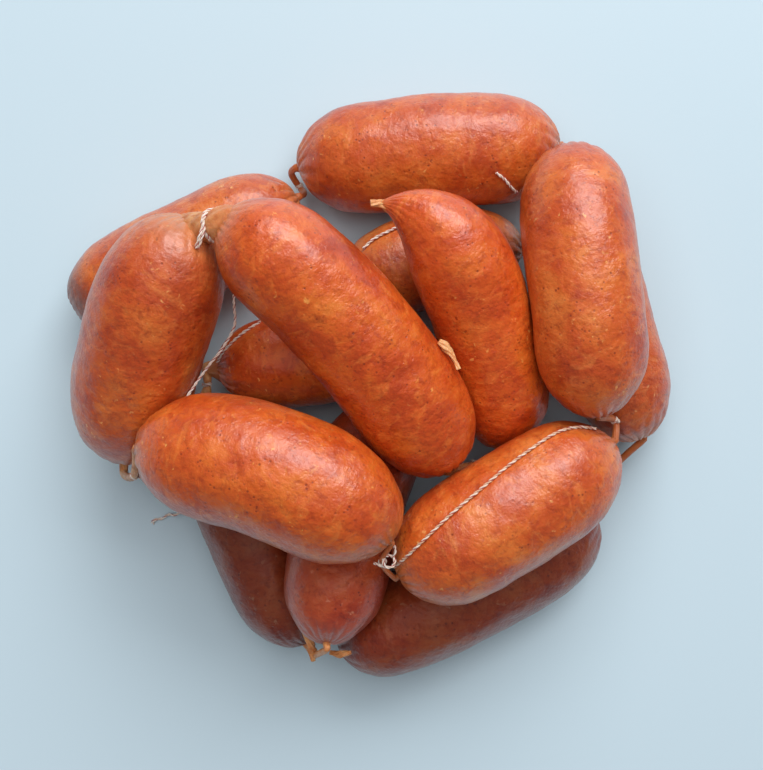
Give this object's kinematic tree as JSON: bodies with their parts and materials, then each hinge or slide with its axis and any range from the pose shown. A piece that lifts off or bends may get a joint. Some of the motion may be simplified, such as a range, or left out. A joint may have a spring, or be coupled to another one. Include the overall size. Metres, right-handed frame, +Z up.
{
  "type": "string of sausage links",
  "caption": "heap of plump smoked sausage links in tied natural casing, with twisted casing necks between the links and slack baker's twine running from tie to tie",
  "frame": {"origin": "middle of the heap's footprint, on the floor under its lowest links", "axes": "+Z up; +X to the right and +Y to the back of the heap as seen from straight above"},
  "size_m": [0.2162, 0.2084, 0.0858],
  "materials": {
    "cured_casing": "semi-gloss mottled orange-brown cured sausage casing",
    "twisted_casing": "dry translucent tan twisted casing",
    "bakers_twine": "thin white and red two-ply cotton twine"
  },
  "bodies": {
    "root": {"cut_end_a": "bakers_twine", "cut_end_de": "bakers_twine", "cut_end_f": "bakers_twine", "link_a": "cured_casing", "link_b": "cured_casing", "link_c": "cured_casing", "link_d": "cured_casing", "link_e": "cured_casing", "link_f": "cured_casing", "link_g": "cured_casing", "link_h": "cured_casing", "link_i": "cured_casing", "link_j": "cured_casing", "link_k": "cured_casing", "link_l": "cured_casing", "link_m": "cured_casing", "link_n": "cured_casing", "neck_ah": "twisted_casing", "neck_ba": "twisted_casing", "neck_cd": "twisted_casing", "neck_de": "twisted_casing", "neck_ef": "twisted_casing", "neck_fg": "twisted_casing", "neck_gb": "twisted_casing", "neck_in": "twisted_casing", "neck_ji": "twisted_casing", "neck_kj": "twisted_casing", "neck_lk": "twisted_casing", "neck_nm": "twisted_casing", "tail_c": "twisted_casing", "tail_d": "twisted_casing", "tail_l": "twisted_casing", "tail_m": "twisted_casing", "tie_ah": "bakers_twine", "tie_ba": "bakers_twine", "tie_cd": "bakers_twine", "tie_de": "bakers_twine", "tie_ef": "bakers_twine", "tie_fg": "bakers_twine", "tie_gb": "bakers_twine", "tie_in": "bakers_twine", "tie_ji": "bakers_twine", "tie_kj": "bakers_twine", "tie_lk": "bakers_twine", "tie_nm": "bakers_twine", "twine_e": "bakers_twine", "twine_g": "bakers_twine", "twine_i": "bakers_twine", "twine_j": "bakers_twine"}
  },
  "joints": []
}
